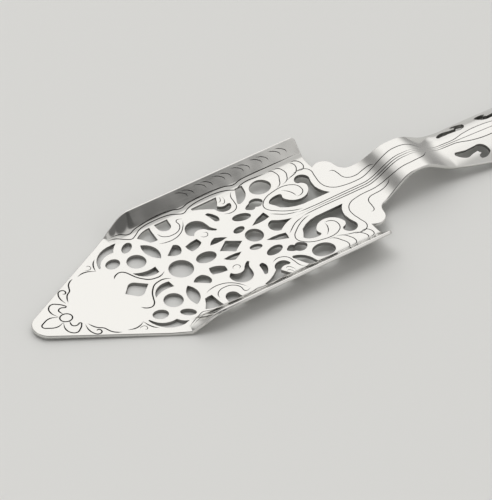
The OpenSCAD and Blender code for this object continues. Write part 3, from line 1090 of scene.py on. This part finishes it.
@dataclass(frozen=True)
class Spoon:
    """The whole spoon: one formed sheet.

    A tilt is the upright part of a face's normal: 1 on a level face and 0 on a wall.
    """

    form: SheetForm
    blank: Blank
    scoring: Scoring = Scoring()
    crease_deg: float = 50.0
    level_tilt: float = 0.999
    near_level_tilt: float = 0.8
    wall_tilt: float = 0.02
    near_wall_tilt: float = 0.5

    def build(self) -> Object:
        """Cuts, pierces, strikes and forms the sheet, and gives it its finishes and the painted
        shade of its struck lines.

        Returns:
            The spoon, at rest in the frame.
        """
        polished = PolishedSteel().material()
        sheared = ShearedSteel().material()
        # The struck lines get painted shade: a dark colour in the grooves
        recess = StruckLineShade().material()
        piece = self.blank.sheet()
        piece.data.materials.append(polished)
        self.blank.pierced(piece, sheared)
        self.blank.struck(piece, recess)
        self.form_sheet(piece, recess)
        piece.name = piece.data.name = "steel_spoon"
        return piece

    def form_sheet(self, piece: Object, recess: Material) -> None:
        """Bends the flat blank and carries its corner normals through the bend.

        Args:
            piece: the flat blank, whose mesh is changed.
            recess: the material of the struck lines, dark with painted shade, whose edges stay
                crisp.
        """
        mesh = piece.data
        struck = mesh.materials.find(recess.name)
        bm = bmesh.new()
        bm.from_mesh(mesh)
        self.scoring.score(bm, self.form)
        bmesh.ops.remove_doubles(bm, verts=bm.verts[:], dist=WELD)
        bmesh.ops.triangulate(bm, faces=[f for f in bm.faces if len(f.verts) > 4])
        for face in bm.faces:
            face.smooth = True
        for edge in bm.edges:
            sides = {face.material_index == struck for face in edge.link_faces}
            folded = edge.calc_face_angle(0.0) >= math.radians(self.crease_deg)
            edge.smooth = len(sides) == 1 and not folded
        bm.to_mesh(mesh)
        bm.free()
        flat = values_of(mesh.vertices, "co")
        owner = values_of(mesh.loops, "vertex_index")
        carried = self.carry(flat, self.squared(mesh, owner, struck), owner)
        mesh.vertices.foreach_set("co", self.form.formed(flat).ravel())
        mesh.update()
        mesh.normals_split_custom_set([tuple(n) for n in carried])

    def squared(self, mesh: Mesh, owner: np.ndarray, struck: int) -> np.ndarray:
        """Corner normals of the flat sheet, level on its faces and square on its walls.

        Args:
            mesh: the flat sheet.
            owner: the vertex of each face corner.
            struck: the slot of the struck lines' finish.

        Returns:
            One normal for each face corner, so that only the rounded edges between faces and
            walls shade as curved.
        """
        normals = values_of(mesh.corner_normals, "vector")
        corners = values_of(mesh.polygons, "loop_total")
        tilt = np.repeat(values_of(mesh.polygons, "normal")[:, 2], corners)
        line = np.repeat(values_of(mesh.polygons, "material_index") == struck, corners)
        for side in (-1, 1):
            level = tilt * side > self.level_tilt
            beside = np.zeros(len(mesh.vertices), bool)
            beside[owner[level]] = True
            nearly = beside[owner] & (tilt * side > self.near_level_tilt) & ~line
            normals[level | nearly] = (0, 0, side)
        steep = np.abs(tilt)
        walls = np.zeros(len(mesh.vertices), bool)
        walls[owner[(steep < self.wall_tilt) & ~line]] = True
        normals[walls[owner] & (steep < self.near_wall_tilt) & ~line, 2] = 0
        return normals / np.linalg.norm(normals, axis=1, keepdims=True)

    def carry(self, flat: np.ndarray, normals: np.ndarray, owner: np.ndarray) -> np.ndarray:
        """Turns normals of the flat sheet into those of the formed one.

        Args:
            flat: vertices of the flat sheet, in millimetres.
            normals: one normal for each face corner.
            owner: the vertex of each face corner.

        Returns:
            One unit normal for each face corner.
        """
        step = 0.01
        columns = []
        for move in step * np.eye(3):
            ahead, behind = self.form.formed(flat + move), self.form.formed(flat - move)
            columns.append((ahead - behind) / (2 * step * MM))
        carrier = np.linalg.inv(np.stack(columns, 2)).transpose(0, 2, 1)
        turned = np.einsum("nij,nj->ni", carrier[owner], normals)
        return turned / np.linalg.norm(turned, axis=1, keepdims=True)


def facing(at: Vector, aim: Vector) -> Matrix:
    """Placement of a camera or a lamp at one point that looks at another."""
    return Matrix.Translation(at) @ (aim - at).to_track_quat("-Z", "Y").to_matrix().to_4x4()


@dataclass(frozen=True)
class Viewpoint:
    """The camera of the photograph, with its places in millimetres of the model's frame."""

    eye: Place = (-413.696, -535.542, 577.165)
    aim: Place = (-26.371, -1.258, 0.0)
    roll_deg: float = 2.5424
    lens_mm: float = 252.0
    sensor_mm: float = 36.0
    near_m: float = 0.05
    far_m: float = 20.0

    def build(self) -> None:
        """Adds the camera to the scene and makes it the view."""
        data = bpy.data.cameras.new("camera")
        data.lens = self.lens_mm
        data.sensor_width = self.sensor_mm
        data.clip_start, data.clip_end = self.near_m, self.far_m
        camera = bpy.data.objects.new("camera", data)
        bpy.context.scene.collection.objects.link(camera)
        roll = Matrix.Rotation(math.radians(self.roll_deg), 4, "Z")
        camera.matrix_world = facing(Vector(self.eye) * MM, Vector(self.aim) * MM) @ roll
        bpy.context.scene.camera = camera


@dataclass(frozen=True)
class Spot:
    """One soft-edged part of the surroundings, about a direction."""

    towards: Place
    inner_deg: float
    outer_deg: float
    amount: float

    def share(self, tree: NodeTree, place: NodeSocket) -> NodeSocket:
        """Adds nodes that give the spot's amount inside it and 0 outside.

        Args:
            tree: the world's nodes.
            place: the direction looked in.

        Returns:
            The socket with the amount.
        """
        near = add(
            tree, "ShaderNodeVectorMath", {"operation": "DOT_PRODUCT"},
            {1: Vector(self.towards).normalized()}, {0: place},
        )
        edges = {
            "From Min": math.cos(math.radians(self.outer_deg)),
            "From Max": math.cos(math.radians(self.inner_deg)),
            "To Max": self.amount,
        }
        soft = {"interpolation_type": "SMOOTHERSTEP"}
        value = {"Value": near.outputs["Value"]}
        return add(tree, "ShaderNodeMapRange", soft, edges, value).outputs[0]


@dataclass(frozen=True)
class Surroundings:
    """A soft world whose strength rises with height, with broad glows and dark cards in it.

    The camera sees a plain backdrop instead.
    """

    backdrop: str = "E3E3E1"
    light: str = "FFFEFC"
    low: float = 0.38
    high: float = 0.72
    low_from: float = -0.05
    high_from: float = 0.35
    glows: tuple[Spot, ...] = (
        Spot((0.30, 0.64, 0.71), 14.0, 44.0, 0.62),
        Spot((0.42, 0.22, 0.88), 12.0, 30.0, 0.55),
        Spot((0.44, 0.88, 0.12), 6.0, 20.0, 0.60),
        Spot((0.55, -0.60, 0.58), 6.0, 14.0, 0.30),
    )
    cards: tuple[Spot, ...] = (
        Spot((-0.50, 0.60, 0.63), 4.0, 13.0, 0.55),
        Spot((0.27, -0.69, 0.67), 6.5, 9.4, 0.86),
        Spot((-0.15, -0.52, 0.84), 19.0, 29.0, 0.78),
        Spot((-0.45, -0.03, 0.89), 14.0, 22.0, 0.74),
    )

    def build(self) -> None:
        """Gives the scene its world: a gradient with the glows added, dimmed by the cards."""
        world = bpy.data.worlds.new("surroundings")
        bpy.context.scene.world = world
        world.use_nodes = True
        tree = world.node_tree
        tree.nodes.clear()
        place = add(tree, "ShaderNodeTexCoord").outputs["Generated"]
        height = add(tree, "ShaderNodeSeparateXYZ", links={0: place}).outputs["Z"]
        soft = {"interpolation_type": "SMOOTHSTEP"}
        rise = {
            "From Min": self.low_from, "From Max": self.high_from,
            "To Min": self.low, "To Max": self.high,
        }
        base = add(tree, "ShaderNodeMapRange", soft, rise, {"Value": height}).outputs[0]
        terms = {0: base, 1: self.strongest(tree, place, self.glows)}
        bright = add(tree, "ShaderNodeMath", {"operation": "ADD"}, links=terms).outputs[0]
        shade = {1: self.strongest(tree, place, self.cards)}
        left = add(tree, "ShaderNodeMath", {"operation": "SUBTRACT"}, {0: 1.0}, shade).outputs[0]
        terms = {0: bright, 1: left}
        total = add(tree, "ShaderNodeMath", {"operation": "MULTIPLY"}, links=terms).outputs[0]
        colour = {"Color": linear(self.light)}
        lit = add(tree, "ShaderNodeBackground", values=colour, links={"Strength": total})
        plain = {"Color": linear(self.backdrop), "Strength": 1.0}
        seen = add(tree, "ShaderNodeBackground", values=plain)
        path = add(tree, "ShaderNodeLightPath").outputs["Is Camera Ray"]
        ends = {0: path, 1: lit.outputs[0], 2: seen.outputs[0]}
        both = add(tree, "ShaderNodeMixShader", links=ends)
        add(tree, "ShaderNodeOutputWorld", links={"Surface": both.outputs[0]})

    @staticmethod
    def strongest(tree: NodeTree, place: NodeSocket, spots: tuple[Spot, ...]) -> NodeSocket:
        """The largest of the spots' amounts in a direction.

        Args:
            tree: the world's nodes.
            place: the direction looked in.
            spots: the spots, which may overlap.

        Returns:
            The socket with the amount.
        """
        most = spots[0].share(tree, place)
        for spot in spots[1:]:
            ends = {0: most, 1: spot.share(tree, place)}
            most = add(tree, "ShaderNodeMath", {"operation": "MAXIMUM"}, links=ends).outputs[0]
        return most


@dataclass(frozen=True)
class Studio:
    """Plain pale floor of matt paper in a soft white studio, with a lamp above it.

    The lamp is a square panel that doesn't mirror in the steel.
    """

    surroundings: Surroundings = Surroundings()
    floor_colour: str = "DCDCDA"
    floor_roughness: float = 0.9
    floor_specular: float = 0.2
    floor_half_m: float = 3.0
    lamp_at: Place = (-0.5, 0.3, 1.9)
    lamp_m: float = 1.2
    lamp_watts: float = 9.0

    def build(self) -> None:
        """Adds the floor, the surroundings and the lamp."""
        bm = bmesh.new()
        bmesh.ops.create_grid(bm, x_segments=1, y_segments=1, size=self.floor_half_m)
        floor = to_object(bm, "floor")
        # Matt white paper, uncoated
        material, tree = new_material("matt_paper")
        values = {
            "Base Color": linear(self.floor_colour), "Roughness": self.floor_roughness,
            "Specular IOR Level": self.floor_specular,
        }
        surface(tree, values)
        floor.data.materials.append(material)
        self.surroundings.build()
        self.lamp()

    def lamp(self) -> None:
        """Adds the lamp, turned towards the spoon."""
        data = bpy.data.lights.new("top_panel", "AREA")
        data.shape = "SQUARE"
        data.size = self.lamp_m
        data.energy = self.lamp_watts
        lamp = bpy.data.objects.new("top_panel", data)
        lamp.visible_glossy = False
        bpy.context.scene.collection.objects.link(lamp)
        lamp.matrix_world = facing(Vector(self.lamp_at), Vector())


def main() -> None:
    """Builds the spoon and the studio around it."""
    logging.basicConfig(level=logging.INFO, format="%(name)s: %(message)s")
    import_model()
    form = SheetForm()
    spoon = Spoon(form, Blank(form, Piercing(), Ornament())).build()
    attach(spoon, "root")
    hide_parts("spoon")
    finishes = ", ".join(material.name for material in spoon.data.materials)
    LOG.info("%s: %d faces, %s", spoon.name, len(spoon.data.polygons), finishes)
    Studio().build()
    Viewpoint().build()
    bpy.context.scene.view_settings.view_transform = "Standard"


if __name__ == "__main__":
    main()
